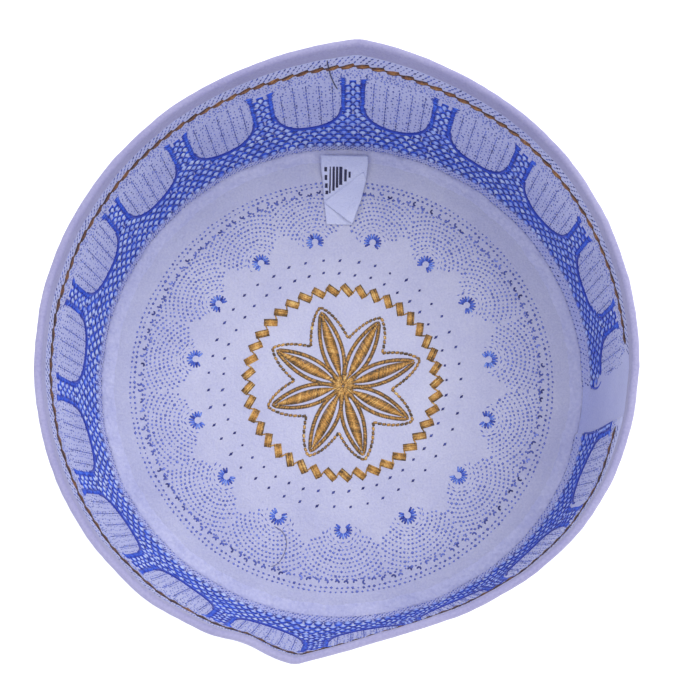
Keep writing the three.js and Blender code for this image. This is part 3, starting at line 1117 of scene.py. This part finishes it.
def loose_threads():
    """Two dark thread ends that hang loose on the inside."""
    strands = Stitches()
    sway = np.linspace(0, 2.4, 14)
    wall_threads(strands, 92.2 + 0.7 * np.sin(sway) - sway, np.linspace(69, 50, 14), True, wall_strand, 0.3)
    turn = np.linspace(72, -86, 22)
    path = (-25.3, -59.6) + direction(turn) * (6.2, 7.2)
    path[:, 0] += 0.3 * np.sin(np.radians(3 * turn))
    crown_threads(strands, path[None], True, crown_strand, 0.95)
    return strands


# The whole cap

def embroider(inside):
    side = "inside" if inside else "outside"

    def sew(name, thread, slot, *patterns):
        stitches = Stitches()
        for pattern in patterns:
            pattern(stitches, inside)
        stitches.piece(f"{name}_{side}", thread, slot)

    fill = Stitches()
    sew("rosette", "gold_thread", "gold_thread", rosette, rosette_outline)
    sew("gold_ring", "gold_thread", "gold_thread", gold_circle)
    sew("specks", "crown_dot_thread", "blue_thread", speck_rings)
    sew("eyes", "eye_thread", "blue_thread", eye_marks)
    sew("scale_dots", "crown_dot_thread", "blue_thread", scale_dots, crown_rows)
    sew("net", "net_thread", "blue_thread", lambda lines, inside: net(lines, fill, inside),
        bay_outlines, net_end_line, cut_edge, pillar_strips)
    fill.piece(f"net_cells_{side}", "cell_thread", "blue_thread")
    sew("wall_rows", "dot_thread", "blue_thread", bay_lines, lower_rows, rim_dashes)
    sew("wall_specks", "crown_dot_thread", "blue_thread", bay_specks)
    sew("gold_chain", "chain_thread", "gold_thread", gold_chain)


def declare_sheets():
    radius = wall_radius(np.arange(360.0), 36.0, False).mean() * MM


# Camera, light and floor

def make_camera():
    place, target = Vector(camera_place) * MM, Vector(camera_target) * MM
    forward = (target - place).normalized()
    right = forward.cross(Vector((0, 1, 0))).normalized()
    up = right.cross(forward)
    camera = bpy.data.objects.new("camera", bpy.data.cameras.new("camera"))
    camera.data.lens = camera_lens
    camera.data.sensor_width = 36
    camera.data.clip_start = 0.01
    rotation = Matrix((right, up, -forward)).transposed()
    camera.matrix_world = Matrix.Translation(place) @ rotation.to_4x4()
    bpy.context.scene.collection.objects.link(camera)
    bpy.context.scene.camera = camera


def area_light(name, place, size, power, colour):
    """A square light that looks at the cap."""
    light = bpy.data.lights.new(name, "AREA")
    light.energy = power
    light.size = size
    light.color = colour
    holder = bpy.data.objects.new(name, light)
    holder.location = place
    holder.rotation_euler = (Vector((0, 0, 0.03)) - Vector(place)).to_track_quat("-Z", "Y").to_euler()
    bpy.context.scene.collection.objects.link(holder)


def make_stage():
    mesh = bpy.data.meshes.new("floor")
    reach = 4.0
    corners = [(-reach, -reach, 0), (reach, -reach, 0), (reach, reach, 0), (-reach, reach, 0)]
    mesh.from_pydata(corners, [], [(0, 1, 2, 3)])
    floor = bpy.data.objects.new("floor", mesh)
    bpy.context.scene.collection.objects.link(floor)
    material, tree, shader = new_material("pale_floor", 0.9, 0)
    paint(tree, shader, noise(tree, 3, 2), [(0.3, (0.93, 0.93, 0.94, 1)), (0.7, (0.96, 0.96, 0.97, 1))])
    # a table lit from below, so the cap throws almost no shadow
    shader.inputs["Emission Color"].default_value = (1, 1, 1, 1)
    shader.inputs["Emission Strength"].default_value = 0.35
    mesh.materials.append(material)
    world = bpy.data.worlds.new("studio")
    bpy.context.scene.world = world
    world.use_nodes = True
    background = world.node_tree.nodes["Background"]
    background.inputs["Color"].default_value = (1, 1, 1, 1)
    background.inputs["Strength"].default_value = 0.95
    area_light("key", (0.7, 0.75, 1.4), 1.6, 14, (0.98, 0.98, 1))
    area_light("fill", (-0.6, -0.9, 1.3), 1.4, 2, (0.97, 0.98, 1))
    bpy.context.scene.view_settings.view_transform = "Standard"


make_camera()
crown = crown_cloth()
band = band_cloth()
hem = hem_cloth()
seam = seam_edge()
label = label_ribbon()
bars = label_bars().piece("label_bars", "loose_thread_finish", "ribbon")
embroider(True)
embroider(False)
loose_threads().piece("loose_threads", "loose_thread_finish", "blue_thread")
declare_sheets()
make_stage()
